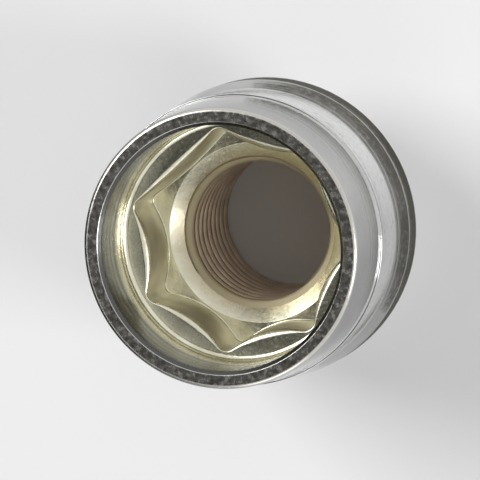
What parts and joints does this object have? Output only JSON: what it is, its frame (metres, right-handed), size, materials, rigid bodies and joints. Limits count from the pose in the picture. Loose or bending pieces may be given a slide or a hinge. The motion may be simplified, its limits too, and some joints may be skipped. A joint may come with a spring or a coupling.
{
  "type": "locking wheel nut",
  "caption": "Round chrome-plated wheel nut with a recessed wavy key socket, a through thread for a wheel stud and a conical seat.",
  "frame": {"origin": "on the nut's axis, at the centre of the flat end face under the cone seat", "axes": "+Z along the axis from the seat end to the key end; +X and +Y across it, with one lobe of the key pattern 2 degrees from +X"},
  "size_m": [0.0248, 0.0248, 0.0244],
  "materials": {
    "plated_steel": "bright nickel-chrome plating on hardened steel; the recess shows warmer, duller nickel"
  },
  "bodies": {
    "root": {"lock_nut": "plated_steel"}
  },
  "joints": []
}
